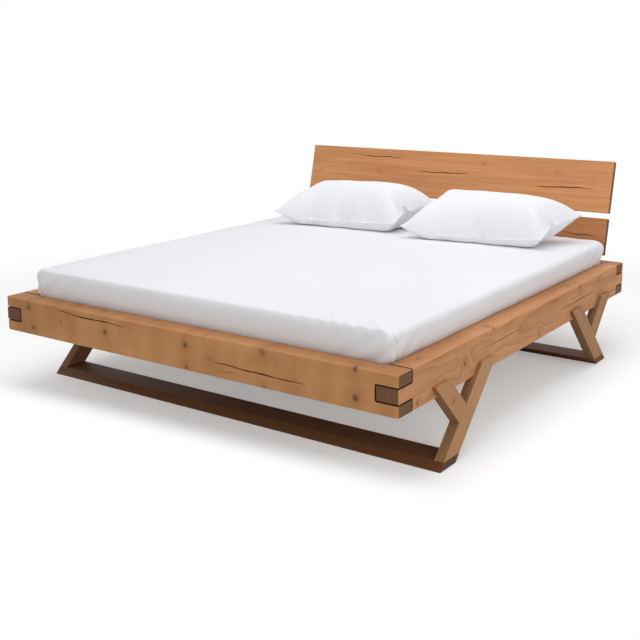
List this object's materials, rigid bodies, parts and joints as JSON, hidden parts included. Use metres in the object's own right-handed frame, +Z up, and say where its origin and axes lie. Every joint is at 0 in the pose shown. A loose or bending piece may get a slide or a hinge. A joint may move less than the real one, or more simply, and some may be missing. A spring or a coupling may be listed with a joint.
{
  "type": "timber platform bed",
  "caption": "Low double bed of squared solid timber beams with finger-jointed corners, leaning plank headboard, splayed Y-shaped legs on flat runners, slatted base, mattress and pillows.",
  "frame": {"origin": "on the floor, below the middle of the whole bed's bounding box", "axes": "+Z up; +Y from the foot of the bed towards the headboard, the longest extent; +X to the right as seen from the foot"},
  "size_m": [2.037, 2.2896, 0.9282],
  "materials": {
    "beam_timber": "satin",
    "leg_timber": "satin",
    "base_timber": "matte",
    "zinc_steel": "satin",
    "glide": "matte",
    "ticking": "matte",
    "sheet": "matte",
    "pillow_ticking": "matte",
    "pillowcase": "matte"
  },
  "bodies": {
    "frame": {"foot_beam": "beam_timber", "head_beam": "beam_timber", "left_side_rail": "beam_timber", "right_side_rail": "beam_timber", "headboard_upper_board": "beam_timber", "headboard_lower_board": "beam_timber", "headboard_left_post": "beam_timber", "headboard_right_post": "beam_timber", "foot_runner": "leg_timber", "foot_left_leg": "leg_timber", "foot_left_brace": "leg_timber", "foot_right_leg": "leg_timber", "foot_right_brace": "leg_timber", "head_runner": "leg_timber", "head_left_leg": "leg_timber", "head_left_brace": "leg_timber", "head_right_leg": "leg_timber", "head_right_brace": "leg_timber", "left_ledger": "base_timber", "right_ledger": "base_timber", "centre_beam": "base_timber", "centre_foot": "base_timber", "brace_dowels": "base_timber", "headboard_pegs": "base_timber", "slat_01": "base_timber", "slat_02": "base_timber", "slat_03": "base_timber", "slat_04": "base_timber", "slat_05": "base_timber", "slat_06": "base_timber", "slat_07": "base_timber", "slat_08": "base_timber", "slat_09": "base_timber", "slat_10": "base_timber", "slat_11": "base_timber", "slat_12": "base_timber", "slat_13": "base_timber", "slat_14": "base_timber", "corner_bolts": "zinc_steel", "corner_washers": "zinc_steel", "corner_inserts": "zinc_steel", "leg_bolts": "zinc_steel", "leg_washers": "zinc_steel", "leg_inserts": "zinc_steel", "runner_screws": "zinc_steel", "ledger_screws": "zinc_steel", "slat_screws": "zinc_steel", "hanger_screws": "zinc_steel", "headboard_screws": "zinc_steel", "centre_foot_bolt": "zinc_steel", "foot_hanger": "zinc_steel", "head_hanger": "zinc_steel", "centre_foot_glide": "glide"},
    "mattress": {"mattress": "ticking", "fitted_sheet": "sheet"},
    "left_pillow": {"left_pillow": "pillow_ticking", "left_pillowcase": "pillowcase"},
    "right_pillow": {"right_pillow": "pillow_ticking", "right_pillowcase": "pillowcase"}
  },
  "joints": [
    {"name": "mattress_lift", "type": "slide", "parent": "frame", "child": "mattress", "axis": [0, 0, 1], "range_m": [0, 0.45]},
    {"name": "left_pillow_lift", "type": "slide", "parent": "mattress", "child": "left_pillow", "axis": [0, 0, 1], "range_m": [0, 0.3]},
    {"name": "right_pillow_lift", "type": "slide", "parent": "mattress", "child": "right_pillow", "axis": [0, 0, 1], "range_m": [0, 0.3]}
  ]
}
